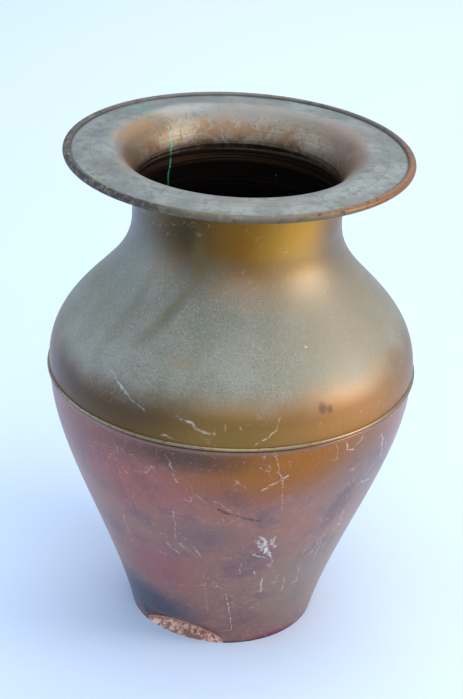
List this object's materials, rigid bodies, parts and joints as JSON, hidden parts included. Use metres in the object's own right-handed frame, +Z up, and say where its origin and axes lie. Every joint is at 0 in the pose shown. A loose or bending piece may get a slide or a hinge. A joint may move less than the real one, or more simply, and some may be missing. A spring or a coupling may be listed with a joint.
{
  "type": "umbrella stand",
  "caption": "Free-standing copper urn for umbrellas, with a tapered body, rounded shoulder, short neck and wide flared rim.",
  "frame": {"origin": "centre of the foot's lower edge, on the urn's axis and on the surface it stands on", "axes": "+Z is up along the urn's axis. It is a body of revolution, so +X and +Y are any level pair; -Y is taken as the front"},
  "size_m": [0.3362, 0.3362, 0.4636],
  "materials": {
    "aged_copper": "tarnished copper, satin, with a grey-green patina above the waist",
    "steel_wire": "drawn steel wire, dull",
    "solder": "dull tin solder"
  },
  "bodies": {
    "root": {"lower_shell": "aged_copper", "upper_shell": "aged_copper", "flared_rim": "aged_copper", "rim_wire": "steel_wire", "bottom_plate": "aged_copper", "waist_solder": "solder", "collar_solder": "solder", "bottom_solder": "solder"}
  },
  "joints": []
}
